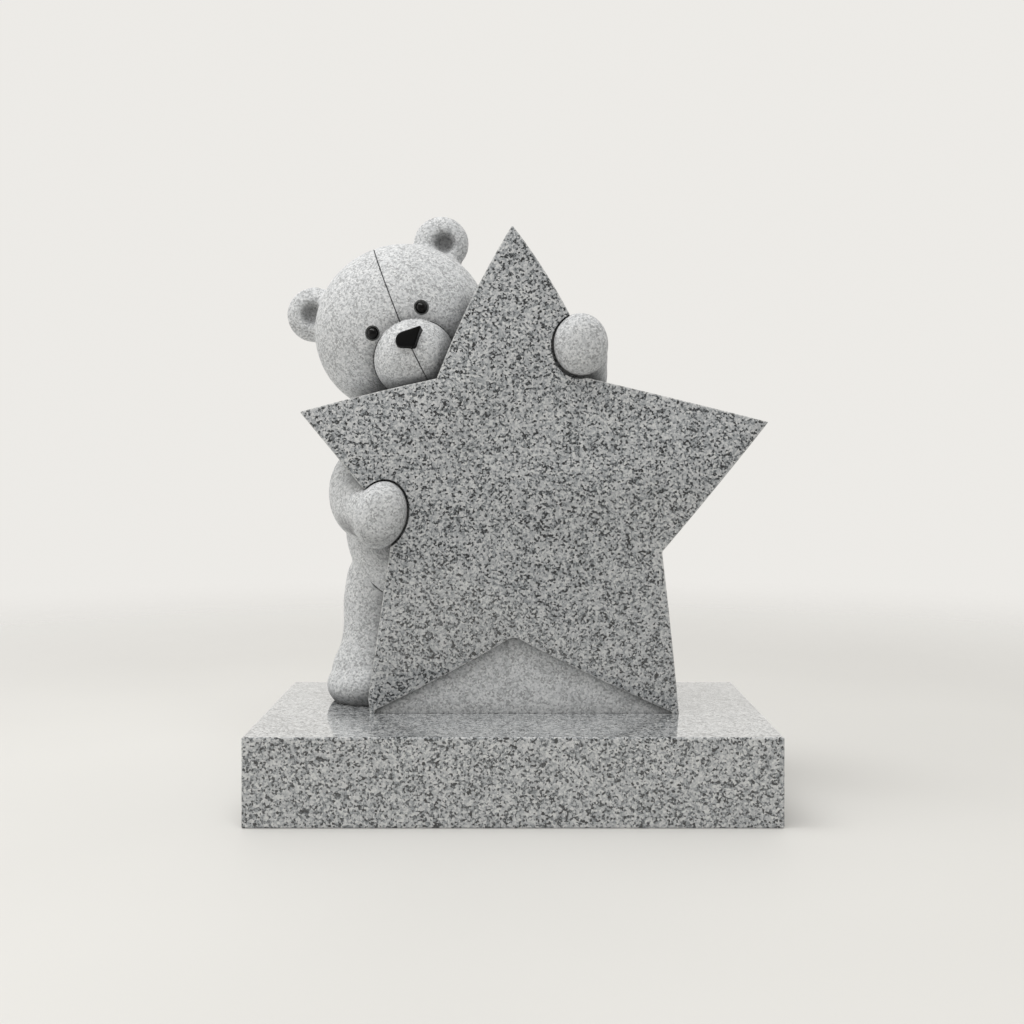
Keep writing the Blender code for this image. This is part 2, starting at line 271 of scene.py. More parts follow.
def meshObject(name, bm, material=None):
    bmesh.ops.recalc_face_normals(bm, faces=bm.faces)
    if bm.calc_volume(signed=True) < 0:
        bmesh.ops.reverse_faces(bm, faces=bm.faces)
    mesh = bpy.data.meshes.new(name)
    bm.to_mesh(mesh)
    bm.free()
    if material:
        mesh.materials.append(material)
    made = bpy.data.objects.new(name, mesh)
    scene.collection.objects.link(made)
    return made


def applyModifiers(made):
    bpy.context.view_layer.update()
    graph = bpy.context.evaluated_depsgraph_get()
    final = made.evaluated_get(graph)
    mesh = bpy.data.meshes.new_from_object(final, preserve_all_data_layers=True, depsgraph=graph)
    made.modifiers.clear()
    old = made.data
    made.data = mesh
    bpy.data.meshes.remove(old)


def boolean(made, others, operation):
    for other in others:
        step = made.modifiers.new(operation.title(), "BOOLEAN")
        step.operation = operation
        step.object = other
        step.solver = "EXACT"
        step.material_mode = "TRANSFER"
    applyModifiers(made)
    for other in others:
        bpy.data.objects.remove(other, do_unlink=True)


granite = {
    "grain": 0.0024,  # medium-grained grey granite, 2 to 4 mm crystals
    "fineGrain": 0.0012,  # the smaller flakes between them
    "ragged": 0.0008,  # how far a crystal's edge wanders
    "wander": 0.0030,  # and over what length
    "patch": 0.016,  # dark crystals gather in patches of about this size
    "gather": 0.09,  # how strongly they gather
    "scatter": 0.16,  # how much the flakes differ from the crystal they lie in
    "ior": 1.54,  # of quartz and feldspar alike
    "coatRoughness": 0.03,
    "gritPitch": 0.00143,  # bruises left by the grit, as coarse as they need to show
    # share of the crystals up to each value, darkest first: mica, smoky quartz, quartz, feldspar
    "minerals": (
        (0.00, "#121517"),
        (0.11, "#1b1f21"),
        (0.17, "#4d5153"),
        (0.30, "#7f8386"),
        (0.50, "#a4a7a9"),
        (0.80, "#bdbebf"),
        (1.00, "#cfd0cf"),
    ),
}

# size: of the grains against whole ones; pale and tint: how far the colour goes to the tint;
# shade: painted shade, how bright it stays; grit: depth of the bruises
finishes = {
    # polished: deep wet-looking colours under a hard gloss
    "polished": {
        "size": 1.0,
        "pale": 0.0,
        "tint": "#d6d7d8",
        "shade": 1.0,
        "roughness": 0.10,
        "coat": 1.0,
        "grit": 0.0,
    },
    # honed: the sawn arris, ground but not polished
    "honed": {
        "size": 1.0,
        "pale": 0.30,
        "tint": "#d6d6d4",
        "shade": 1.0,
        "roughness": 0.45,
        "coat": 0.0,
        "grit": 0.0002,
    },
    # rubbed: the bruised, broken crystals scatter light, so the stone is paler and its specks finer and faint
    "rubbed": {
        "size": 0.85,
        "pale": 0.40,
        "tint": "#e6e7e8",
        "shade": 1.0,
        "roughness": 0.75,
        "coat": 0.0,
        "grit": 0.0004,
    },
    # chiselled: the narrow cuts, left rough, with painted shade darkening them for the shadow inside
    "chiselled": {
        "size": 0.85,
        "pale": 0.2,
        "tint": "#8a8b8c",
        "shade": 0.45,
        "roughness": 0.9,
        "coat": 0.0,
        "grit": 0.0006,
    },
}

# painted shade on the rubbed stone: darker in crevices, round the muzzle's edge and under the left paw
paintedShade = {
    "reach": 0.040,  # how far the painted shade in the crevices spreads
    "openness": (0.2, 0.8),  # the share of free air round a point that is deep in them, and clear of them
    "shade": 0.38,  # how much of its paleness the stone keeps deep in them
    # painted shade just outside the muzzle where it meets the head: distance from its middle in radii,
    # paleness kept
    "muzzle": (
        (1.000, "#ffffff"),
        (1.006, "#ffffff"),
        (1.020, "#bdbdbd"),
        (1.090, "#dedede"),
        (1.300, "#ffffff"),
    ),
    # painted shadow under the left paw, where it stands off the belly
    "paw": (
        (1.00, "#ffffff"),
        (1.06, "#ffffff"),
        (1.14, "#c0c0c0"),
        (1.60, "#d2d2d2"),
        (2.40, "#ffffff"),
    ),
    "shadowUnderPaw": {"From Min": -0.2, "From Max": -0.7},  # in radii, the heights between which the painted shadow comes in
}


def graniteMaterial(name, finish):
    look = finishes[finish]
    material, tree, shader = newMaterial(name)
    place = addNode(tree, "ShaderNodeTexCoord").outputs["Object"]
    ripple = {"Scale": 1 / granite["wander"], "Detail": 2.0}
    wander = addNode(tree, "ShaderNodeTexNoise", ripple, {"Vector": place})
    centred = addNode(tree, "ShaderNodeVectorMath", {"operation": "SUBTRACT"}, {0: wander.outputs["Color"]})
    centred.inputs[1].default_value = (0.5, 0.5, 0.5)
    shift = {"operation": "SCALE", "Scale": 4 * granite["ragged"]}  # the noise seldom goes past a quarter
    shifted = addNode(tree, "ShaderNodeVectorMath", shift, {0: centred.outputs[0]}).outputs[0]
    ragged = addNode(tree, "ShaderNodeVectorMath", {"operation": "ADD"}, {0: place, 1: shifted}).outputs[0]
    coarse = {"Scale": 1 / (granite["grain"] * look["size"])}
    fine = {"Scale": 1 / (granite["fineGrain"] * look["size"])}
    crystals = addNode(tree, "ShaderNodeTexVoronoi", coarse, {"Vector": ragged})
    flakes = addNode(tree, "ShaderNodeTexVoronoi", fine, {"Vector": ragged})
    chance = addNode(tree, "ShaderNodeSeparateColor", {}, {0: crystals.outputs["Color"]}).outputs[0]
    fineChance = addNode(tree, "ShaderNodeSeparateColor", {}, {0: flakes.outputs["Color"]}).outputs[1]
    broad = {"Scale": 1 / granite["patch"], "Detail": 2.0}
    patches = addNode(tree, "ShaderNodeTexNoise", broad, {"Vector": place})
    gather = {"From Min": 0.3, "From Max": 0.7, "To Min": -granite["gather"], "To Max": granite["gather"]}
    drift = addNode(tree, "ShaderNodeMapRange", gather, {0: patches.outputs[0]}).outputs[0]
    scatter = {"To Min": -granite["scatter"], "To Max": granite["scatter"]}
    spread = addNode(tree, "ShaderNodeMapRange", scatter, {0: fineChance}).outputs[0]
    mixed = addNode(tree, "ShaderNodeMath", {"operation": "ADD"}, {0: chance, 1: drift}).outputs[0]
    mixed = addNode(tree, "ShaderNodeMath", {"operation": "ADD"}, {0: mixed, 1: spread}).outputs[0]
    minerals = addNode(tree, "ShaderNodeValToRGB", {}, {0: mixed})
    setRamp(minerals, granite["minerals"])
    colour = minerals.outputs[0]
    if look["pale"]:
        pale = addNode(tree, "ShaderNodeMix", {"data_type": "RGBA"}, {6: colour})
        pale.inputs[0].default_value = look["pale"]
        pale.inputs[7].default_value = linear(look["tint"])
        colour = pale.outputs[2]
    if look["shade"] < 1:
        shade = addNode(tree, "ShaderNodeMix", {"data_type": "RGBA", "blend_type": "MULTIPLY"}, {6: colour})
        shade.inputs[0].default_value = 1.0
        shade.inputs[7].default_value = (look["shade"],) * 3 + (1.0,)
        colour = shade.outputs[2]
    # painted shade on the rubbed stone: round the muzzle, under the left paw, in the ears' hollows and in
    # crevices
    if finish == "rubbed":
        muzzleForm = (fromHead(muzzle["place"]), head["roll"], muzzle["radii"])
        pawPlace, pawRadii, pawRoll = paws["left"][:3]
        colour = paintShadeRound(tree, place, colour, muzzleForm, paintedShade["muzzle"])
        pawForm = (pawPlace, pawRoll, pawRadii)
        colour = paintShadeRound(tree, place, colour, pawForm, paintedShade["paw"], paintedShade["shadowUnderPaw"])
        colour = paintCreviceShade(tree, paintHollowShade(tree, place, colour))
    tree.links.new(colour, shader.inputs["Base Color"])
    shader.inputs["Roughness"].default_value = look["roughness"]
    shader.inputs["IOR"].default_value = granite["ior"]
    shader.inputs["Coat Weight"].default_value = look["coat"]
    shader.inputs["Coat Roughness"].default_value = granite["coatRoughness"]
    if look["grit"]:
        bruises = {"Scale": 1 / granite["gritPitch"], "Detail": 3.0, "Roughness": 0.6}
        grit = addNode(tree, "ShaderNodeTexNoise", bruises, {"Vector": place})
        depth = {"Strength": 0.5, "Distance": look["grit"]}
        bump = addNode(tree, "ShaderNodeBump", depth, {"Height": grit.outputs[0]})
        tree.links.new(bump.outputs[0], shader.inputs["Normal"])
    return material


def paintCreviceShade(tree, colour):
    # painted shade in the crevices: the stone is darkened where little free air is round a point
    ambient = {"samples": 8, "Distance": paintedShade["reach"]}
    bared = addNode(tree, "ShaderNodeAmbientOcclusion", ambient).outputs["AO"]
    deep, clear = paintedShade["openness"]
    span = {"From Min": deep, "From Max": clear, "To Min": paintedShade["shade"]}
    soft = {**span, "interpolation_type": "SMOOTHSTEP"}
    keep = addNode(tree, "ShaderNodeMapRange", soft, {0: bared}).outputs[0]
    return addNode(tree, "ShaderNodeVectorMath", {"operation": "SCALE"}, {0: colour, 3: keep}).outputs[0]


def paintShadeRound(tree, place, colour, form, stops, below=None):
    # painted shade by the distance from a rounded form, only below it where the range says so
    centre, turn, radii = form
    spot = addNode(tree, "ShaderNodeMapping", {"vector_type": "TEXTURE"}, {0: place})
    spot.inputs["Location"].default_value = centre + Vector((0, 0, stoneBase))
    spot.inputs["Rotation"].default_value = (0, -turn, 0)
    spot.inputs["Scale"].default_value = radii
    away = addNode(tree, "ShaderNodeVectorMath", {"operation": "LENGTH"}, {0: spot.outputs[0]})
    first, last = stops[0][0], stops[-1][0]
    reach = {"From Min": first, "From Max": last}
    share = addNode(tree, "ShaderNodeMapRange", reach, {0: away.outputs["Value"]}).outputs[0]
    tone = addNode(tree, "ShaderNodeValToRGB", {}, {0: share}).outputs[0]
    setRamp(tone.node, [((at - first) / (last - first), shade) for at, shade in stops])
    multiply = {"data_type": "RGBA", "blend_type": "MULTIPLY"}
    dark = addNode(tree, "ShaderNodeMix", multiply, {6: colour, 7: tone})
    dark.inputs[0].default_value = 1.0
    if below:
        height = addNode(tree, "ShaderNodeSeparateXYZ", {}, {0: spot.outputs[0]}).outputs[2]
        soft = {**below, "interpolation_type": "SMOOTHSTEP"}
        under = addNode(tree, "ShaderNodeMapRange", soft, {0: height}).outputs[0]
        tree.links.new(under, dark.inputs[0])
    return dark.outputs[2]


def paintHollowShade(tree, place, colour):
    # painted shade in the ears' hollows, darker towards their middles
    for earPlace, offset, shade in zip(ears["places"], ears["hollows"], ears["hollowPaintedShades"]):
        centre, bowl = hollowPlace(earPlace, offset)
        floor = centre + Vector((0, bowl, stoneBase))
        away = addNode(tree, "ShaderNodeVectorMath", {"operation": "DISTANCE"}, {0: place})
        away.inputs[1].default_value = floor
        near, far = [share * ears["hollowRadius"] for share in ears["paintedShadeReach"]]
        reach = {"From Min": near, "From Max": far}
        soft = {**reach, "To Min": shade, "interpolation_type": "SMOOTHSTEP"}
        keep = addNode(tree, "ShaderNodeMapRange", soft, {0: away.outputs["Value"]}).outputs[0]
        scale = {"operation": "SCALE"}
        colour = addNode(tree, "ShaderNodeVectorMath", scale, {0: colour, 3: keep}).outputs[0]
    return colour


def darkGlass(name, hexColour, ior):
    # near-black glass with faint smears in its gloss, so its highlight is soft rather than mirror-sharp
    material, tree, shader = newMaterial(name)
    place = addNode(tree, "ShaderNodeTexCoord").outputs["Object"]
    smears = {"Scale": 1 / 0.00385, "Detail": 2.0}  # about 4 mm long
    cloud = addNode(tree, "ShaderNodeTexNoise", smears, {"Vector": place}).outputs[0]
    tone = addNode(tree, "ShaderNodeValToRGB", {}, {0: cloud})
    setRamp(tone, ((0.3, "#040404"), (0.7, hexColour)))
    tree.links.new(tone.outputs[0], shader.inputs["Base Color"])
    smear = addNode(tree, "ShaderNodeMapRange", {"To Min": 0.02, "To Max": 0.06}, {0: cloud}).outputs[0]
    tree.links.new(smear, shader.inputs["Roughness"])
    shader.inputs["IOR"].default_value = ior
    return material


def dullLead(name):
    # tarnished lead, dull grey with a faint cloud, so a paler ring sets the eye's black bead off
    material, tree, shader = newMaterial(name)
    place = addNode(tree, "ShaderNodeTexCoord").outputs["Object"]
    blotches = {"Scale": 1 / 0.002, "Detail": 3.0}  # about 2 mm wide
    cloud = addNode(tree, "ShaderNodeTexNoise", blotches, {"Vector": place}).outputs[0]
    tone = addNode(tree, "ShaderNodeValToRGB", {}, {0: cloud})
    setRamp(tone, ((0.35, "#3a3b3b"), (0.65, "#616362")))
    tree.links.new(tone.outputs[0], shader.inputs["Base Color"])
    shader.inputs["Roughness"].default_value = 0.5
    return material


def headTurn():
    return Matrix.Rotation(-head["roll"], 4, "Y")


def fromHead(place):
    return head["centre"] + headTurn() @ Vector(place)


balls = {}  # a unit sphere for each fineness, made once


def addBall(bm, place, radii, roll=0.0, around=96, flatness=2.0):
    # the poles lie front and back, so the outline from the front is even
    matrix = (
        Matrix.Translation(Vector(place) + Vector((0, 0, stoneBase)))
        @ Matrix.Rotation(-roll, 4, "Y")
        @ Matrix.Diagonal((*radii, 1.0))
        @ Matrix.Rotation(math.radians(90), 4, "X")
    )
    if around not in balls:
        unit = bmesh.new()
        bmesh.ops.create_uvsphere(unit, u_segments=around, v_segments=around // 2, radius=1.0)
        balls[around] = bpy.data.meshes.new("ball")
        unit.to_mesh(balls[around])
        unit.free()
    shape = balls[around].copy()
    if flatness != 2.0:
        for vert in shape.vertices:
            out = math.hypot(vert.co.x, vert.co.y)
            vert.co /= (out**flatness + abs(vert.co.z) ** flatness) ** (1 / flatness)
    shape.transform(matrix)
    bm.from_mesh(shape)
    bpy.data.meshes.remove(shape)


def smoothStops(stops, steps):
    # Catmull-Rom line through the stops, radius and all
    first = Vector(stops[0]) * 2 - Vector(stops[1])
    last = Vector(stops[-1]) * 2 - Vector(stops[-2])
    chain = [first, *[Vector(stop) for stop in stops], last]
    line = []
    for i in range(1, len(chain) - 2):
        a, b, c, d = chain[i - 1 : i + 3]
        for k in range(steps):
            t = k / steps
            bend = (a * 2 - b * 5 + c * 4 - d) * (t * t / 2)
            twist = (b * 3 - a - c * 3 + d) * (t**3 / 2)
            line.append(b + (c - a) * (t / 2) + bend + twist)
    line.append(chain[-2])
    return line


def roundedCorner(before, here, after, rounding, chords):
    start = here + (before - here).normalized() * rounding
    end = here + (after - here).normalized() * rounding
    steps = [k / chords for k in range(chords + 1)]
    return [start * (1 - t) ** 2 + here * (2 * t * (1 - t)) + end * t**2 for t in steps]


def addSlab(bm, outline, front, back):
    # front and back give the depth of the two faces at each height
    near = [bm.verts.new((p.x, front(p.y), p.y + stoneBase)) for p in outline]
    far = [bm.verts.new((p.x, back(p.y), p.y + stoneBase)) for p in outline]
    edges = []
    for ring in (near, far):
        edges += [bm.edges.new((ring[i], ring[i - 1])) for i in range(len(ring))]
        bm.faces.new(ring)
    bmesh.ops.bridge_loops(bm, edges=edges)


def starOutline():
    points = []
    corners = star["corners"]
    for i, (across, height, bow, rounding) in enumerate(corners):
        here = Vector((across, height))
        before = Vector(corners[i - 1][:2])
        after = Vector(corners[(i + 1) % len(corners)][:2])
        rounded = roundedCorner(before, here, after, rounding, star["roundChords"])
        points += rounded if rounding else [here]
        along = after - here
        outward = Vector((-along.y, along.x)).normalized()
        for k in range(1, star["bowChords"] if bow else 1):
            t = k / star["bowChords"]
            points.append(here + along * t + outward * (4 * bow * t * (1 - t)))
    return points


def makeStar():
    bm = bmesh.new()
    addSlab(bm, starOutline(), lambda z: star["front"], lambda z: star["front"] + star["thickness"])
    bmesh.ops.recalc_face_normals(bm, faces=bm.faces)
    sharp = [e for e in bm.edges if len(e.link_faces) == 2 and e.calc_face_angle(0) > math.radians(30)]
    bmesh.ops.bevel(
        bm,
        geom=sharp,
        offset=star["arris"],
        affect="EDGES",
        segments=2,
        profile=0.5,
        material=-1,
        clamp_overlap=True,
    )
    slab = meshObject("starSlab", bm)
    for material in (polishedGranite, honedGranite, rubbedGraniteWithPaintedShade):
        slab.data.materials.append(material)
    for face in slab.data.polygons:
        # the face itself is polished, its bevel honed, the edges and the back rubbed
        onArris = face.center.y < star["front"] + star["arris"]
        face.material_index = 0 if face.normal.y < -0.9999 else 1 if onArris else 2
    cutters = []
    for side in ("left", "right"):
        # a ball a little larger than the paw, cut off flat at the gutter's depth
        place, radii, roll, width, offset = paws[side]
        bm = bmesh.new()
        addBall(bm, place + offset, radii + Vector((width, width, width)), roll, 96, paws["flatness"])
        depth = star["front"] + paws["gutterDepth"]
        whole = [*bm.verts, *bm.edges, *bm.faces]
        cut = bmesh.ops.bisect_plane(
            bm, geom=whole, plane_co=(0, depth, 0), plane_no=(0, 1, 0), clear_outer=True
        )
        rim = [item for item in cut["geom_cut"] if isinstance(item, bmesh.types.BMEdge)]
        bmesh.ops.edgeloop_fill(bm, edges=rim)
        cutters.append(meshObject("gutter", bm, chiselledGraniteWithPaintedShade))
    boolean(slab, cutters, "DIFFERENCE")
    return slab


def hollowPlace(place, offset):
    # centre of the ball that scoops an ear out, and its radius
    bowl = (ears["hollowRadius"] ** 2 + ears["hollowDepth"] ** 2) / (2 * ears["hollowDepth"])
    back = ears["hollowDepth"] - ears["halfThickness"] - bowl
    return fromHead(place + offset + Vector((0, back, 0))), bowl


def makeEar(place, offset):
    bm = bmesh.new()
    addBall(bm, fromHead(place), (ears["radius"], ears["halfThickness"], ears["radius"]), head["roll"], 64)
    ear = meshObject("ear", bm)
    centre, bowl = hollowPlace(place, offset)
    bm = bmesh.new()
    addBall(bm, centre, (bowl, bowl, bowl), 0.0, 96)
    boolean(ear, [meshObject("bowl", bm)], "DIFFERENCE")
    return ear


def makeBear():
    bm = bmesh.new()
    addBall(bm, head["centre"], head["radii"], head["roll"], 128)
    for side in ("left", "right"):
        place, radii, roll = paws[side][:3]
        addBall(bm, place, radii, roll, 80, paws["flatness"])
    for place, radii in body["balls"]:
        addBall(bm, place, radii)
    for stops in body["limbs"]:
        for stop in smoothStops(stops, body["limbSteps"]):
            addBall(bm, stop.xyz, (stop.w,) * 3, 0.0, 48)
    for place, offset in zip(ears["places"], ears["hollows"]):
        ear = makeEar(place, offset)
        bm.from_mesh(ear.data)
        bpy.data.objects.remove(ear, do_unlink=True)
    bear = meshObject("bear", bm, rubbedGraniteWithPaintedShade)
    step = bear.modifiers.new("Voxels", "REMESH")
    step.mode = "VOXEL"
    step.voxel_size = body["voxel"]
    step = bear.modifiers.new("Rubbed", "SMOOTH")
    step.factor = 0.5
    step.iterations = body["smoothing"]
    applyModifiers(bear)
    return bear


def makeMuzzle():
    # joined after the rest is rubbed smooth, so that its edge stays crisp
    bm = bmesh.new()
    addBall(bm, fromHead(muzzle["place"]), muzzle["radii"], head["roll"], 128)
    return meshObject("muzzle", bm, rubbedGraniteWithPaintedShade)


def makeBacking():
    bm = bmesh.new()
    slope = (backing["setBackTop"] - backing["setBackFoot"]) / max(c[1] for c in backing["corners"])
    foot = star["front"] + backing["setBackFoot"]
    outline = [Vector(c) for c in backing["corners"]]
    addSlab(bm, outline, lambda z: foot + slope * z, lambda z: backing["back"])
    return meshObject("backing", bm, rubbedGraniteWithPaintedShade)


def eyeCentre(side):
    across = eyes["faceLine"] + side * eyes["across"]
    radii = head["radii"]
    inside = 1 - (across / radii.x) ** 2 - (eyes["up"] / radii.z) ** 2
    return fromHead((across, -radii.y * math.sqrt(inside) + eyes["radius"] - eyes["proud"], eyes["up"]))


def noseFrame():
    radii = muzzle["radii"]
    rise = nose["up"] / radii.z
    depth = radii.y * math.sqrt(1 - rise**2 - (nose["across"] / radii.x) ** 2)
    tip = math.atan2(rise / radii.z, depth / radii.y**2)
    place = fromHead(muzzle["place"] + Vector((nose["across"], -depth, nose["up"])))
    return Matrix.Translation(place + Vector((0, 0, stoneBase))) @ headTurn() @ Matrix.Rotation(-tip, 4, "X")


def addNose(bm, grow):
    # lofted from the middle of the domed face over the rounded arris to the back
    # grow widens it all round, for its pocket
    corners = nose["corners"]
    outline = []
    for i, (across, up, rounding) in enumerate(corners):
        before = Vector(corners[i - 1][:2])
        after = Vector(corners[(i + 1) % len(corners)][:2])
        outline += roundedCorner(before, Vector((across, up)), after, rounding, nose["roundChords"])
    middle = sum(outline, Vector((0, 0))) / len(outline)
    spokes = [point - middle for point in outline]
    near, arris = -nose["proud"] - grow, nose["arris"]
    rings = []  # share of the outline, inset, depth
    for share in (0.2, 0.4, 0.6, 0.8, 0.92):
        rings.append((share, arris - grow, near + nose["dome"] * share**2))
    for k in range(7):
        turn = math.radians(15 * k)
        inset = arris * (1 - math.sin(turn)) - grow
        rings.append((1.0, inset, near + nose["dome"] + arris * (1 - math.cos(turn))))
    rings.append((1.0, -grow, nose["setIn"] + grow))
    loops = []
    for share, inset, depth in rings:
        places = [middle + spoke * share * (1 - inset / spoke.length) for spoke in spokes]
        loops.append([bm.verts.new((place.x, depth, place.y)) for place in places])
    peak = bm.verts.new((middle.x, near, middle.y))
    for i in range(len(outline)):
        bm.faces.new((peak, loops[0][i - 1], loops[0][i]))
        for inner, outer in zip(loops, loops[1:]):
            bm.faces.new((inner[i - 1], outer[i - 1], outer[i], inner[i]))
    bm.faces.new(loops[-1])
    bmesh.ops.transform(bm, matrix=noseFrame(), verts=bm.verts)


def chiselLine(name, points, softStart=False, softEnd=False):
    # a round-nosed cut along points in world space
    curve = bpy.data.curves.new(name, "CURVE")
    curve.dimensions = "3D"
    curve.bevel_depth = seams["radius"]
    curve.bevel_resolution = 2
    curve.use_fill_caps = True
    spline = curve.splines.new("POLY")
    spline.points.add(len(points) - 1)
    for k, (point, place) in enumerate(zip(spline.points, points)):
        point.co = (*place, 1.0)
        if softStart:
            point.radius *= min(1.0, seams["tip"] + k / seams["taper"])
        if softEnd:
            point.radius *= min(1.0, seams["tip"] + (len(points) - 1 - k) / seams["taper"])
    guide = bpy.data.objects.new(name, curve)
    scene.collection.objects.link(guide)
    bpy.context.view_layer.update()
    graph = bpy.context.evaluated_depsgraph_get()
    bm = bmesh.new()
    mesh = bpy.data.meshes.new_from_object(guide.evaluated_get(graph))
    bm.from_mesh(mesh)
    bpy.data.meshes.remove(mesh)
    bpy.data.objects.remove(guide, do_unlink=True)
    bmesh.ops.remove_doubles(bm, verts=bm.verts, dist=0.00002)
    return meshObject(name, bm, chiselledGraniteWithPaintedShade)


def sunk(radii, place):
    # a point of an ellipsoid's surface in head axes, moved inwards along its normal
    normal = Vector((place.x / radii.x**2, place.y / radii.y**2, place.z / radii.z**2)).normalized()
    return place - normal * seams["sunk"]


def toWorld(place):
    return fromHead(place) + Vector((0, 0, stoneBase))


def headSeam():
    # over the face, the crown and down the back of the head
    radii = head["radii"]
    points = []
    steps = 96
    first, last = seams["headTurns"]
    for k in range(steps + 1):
        angle = math.radians(first + (last - first) * k / steps)
        up = radii.z * math.sin(angle)
        across = seams["start"] + seams["lean"] * up
        shrink = math.sqrt(1 - (across / radii.x) ** 2)
        place = Vector((across, -radii.y * math.cos(angle) * shrink, up * shrink))
        points.append(toWorld(sunk(radii, place)))
    return chiselLine("headSeam", points)


def mouthLine():
    radii = muzzle["radii"]
    points = []
    steps = 32
    first, last = seams["mouthTurns"]
    for k in range(steps + 1):
        angle = math.radians(first + (last - first) * k / steps)
        up = radii.z * math.sin(angle)
        across = seams["mouthStart"] + seams["mouthLean"] * up
        shrink = math.sqrt(1 - (across / radii.x) ** 2)
        place = Vector((across, -radii.y * math.cos(angle) * shrink, up * shrink))
        points.append(toWorld(muzzle["place"] + sunk(radii, place)))
    return chiselLine("mouthLine", points)


def muzzleRing(first, last, softStart, softEnd):
    # where the muzzle's surface goes into the head's, as far as the star leaves it bare
    points = []
    steps = 48
    for k in range(steps + 1):
        turn = math.radians(first + (last - first) * k / steps)
        low, high = 0.0, math.pi
        for _ in range(40):  # halve the span until the two surfaces meet
            mid = (low + high) / 2
            reach = Vector((math.sin(mid) * math.cos(turn), -math.cos(mid), math.sin(mid) * math.sin(turn)))
            place = muzzle["place"] + reach * muzzle["radii"]
            outside = sum((place[i] / head["radii"][i]) ** 2 for i in range(3)) > 1
            low, high = (mid, high) if outside else (low, mid)
        points.append(toWorld(place))
    return chiselLine("muzzleRing", points, softStart, softEnd)


def foldLine(bear):
    # the fold between belly and thigh, laid on the bear's surface from the front
    tree = BVHTree.FromObject(bear, bpy.context.evaluated_depsgraph_get())
    points = []
    for stop in smoothStops(seams["fold"], 8):
        across, height = stop[0], stop[1]
        hit = tree.ray_cast(Vector((across, -1, height + stoneBase)), Vector((0, 1, 0)))[0]
        points.append(hit + Vector((0, seams["sunk"], 0)))
    return chiselLine("foldLine", points, softStart=True)


def eyeFrame(side):
    # an axis square to the face through the eye's middle
    across = eyes["faceLine"] + side * eyes["across"]
    radii = head["radii"]
    depth = radii.y * math.sqrt(1 - (across / radii.x) ** 2 - (eyes["up"] / radii.z) ** 2)
    out = Vector((across / radii.x**2, -depth / radii.y**2, eyes["up"] / radii.z**2))
    turn = (headTurn() @ out).to_track_quat("Z", "Y").to_matrix().to_4x4()
    return Matrix.Translation(eyeCentre(side) + Vector((0, 0, stoneBase))) @ turn


def turned(section, matrix, steps):
    # a closed round solid from its half section, which starts and ends on the axis
    bm = bmesh.new()
    line = [bm.verts.new((radius, 0, height)) for radius, height in section]
    edges = [bm.edges.new(pair) for pair in zip(line, line[1:])]
    bmesh.ops.spin(
        bm,
        geom=[*line, *edges],
        cent=(0, 0, 0),
        axis=(0, 0, 1),
        dvec=(0, 0, 0),
        angle=math.tau,
        steps=steps,
        use_merge=True,
        use_normal_flip=False,
        use_duplicate=False,
    )
    bmesh.ops.remove_doubles(bm, verts=bm.verts, dist=0.000001)
    bmesh.ops.transform(bm, matrix=matrix, verts=bm.verts)
    return bm


def arc(radius, height, first, last, steps):
    turns = [math.radians(first + (last - first) * k / steps) for k in range(steps + 1)]
    return [(abs(radius * math.cos(turn)), height + radius * math.sin(turn)) for turn in turns]


def makeEye(name, side):
    # a domed bead in a sunk collar
    section = [
        *arc(eyes["radius"], 0.0, -90, -5, 12),
        *eyes["collar"],
        *arc(eyes["bead"], eyes["beadHeight"], 4, 90, 20),
    ]
    eye = meshObject(name, turned(section, eyeFrame(side), 64), eyeGlass)
    eye.data.materials.append(leadCollar)
    inwards = eyeFrame(side).inverted()
    for face in eye.data.polygons:
        face.material_index = 1 if (inwards @ face.center).xy.length > eyes["bead"] else 0
    eye.data.polygons.foreach_set("use_smooth", [True] * len(eye.data.polygons))
    eye.data.set_sharp_from_angle(angle=math.radians(40))
    return eye


def belowBed():
    # what reaches below the stone's underside is cut off flat
    bm = bmesh.new()
    depth = 0.2
    matrix = Matrix.Translation((0, 0, stoneBase - depth / 2)) @ Matrix.Diagonal((1, 1, depth, 1))
    bmesh.ops.create_cube(bm, size=1, matrix=matrix)
    return meshObject("belowBed", bm, rubbedGraniteWithPaintedShade)


def makeSockets():
    cutters = []
    for side in (-1, 1):
        radius = eyes["radius"] + eyes["clearance"]
        section = [*arc(radius, 0.0, -90, 0, 12), (radius, 2 * radius), (0.0, 2 * radius)]
        cutters.append(meshObject("eyeSocket", turned(section, eyeFrame(side), 48), chiselledGraniteWithPaintedShade))
    bm = bmesh.new()
    addNose(bm, nose["clearance"])
    cutters.append(meshObject("nosePocket", bm, chiselledGraniteWithPaintedShade))
    return cutters


polishedGranite = graniteMaterial("polishedGranite", "polished")
honedGranite = graniteMaterial("honedGranite", "honed")
# the rubbed and chiselled stone carry painted shade in their crevices, hollows and cuts
rubbedGraniteWithPaintedShade = graniteMaterial("rubbedGraniteWithPaintedShade", "rubbed")
chiselledGraniteWithPaintedShade = graniteMaterial("chiselledGraniteWithPaintedShade", "chiselled")
# a low IOR, because these mirror a pale studio where the real ones mirror a dark room
eyeGlass = darkGlass("eyeGlass", "#080706", 1.30)
noseGlass = darkGlass("noseGlass", "#060607", 1.22)
leadCollar = dullLead("leadCollar")
print("materials done")

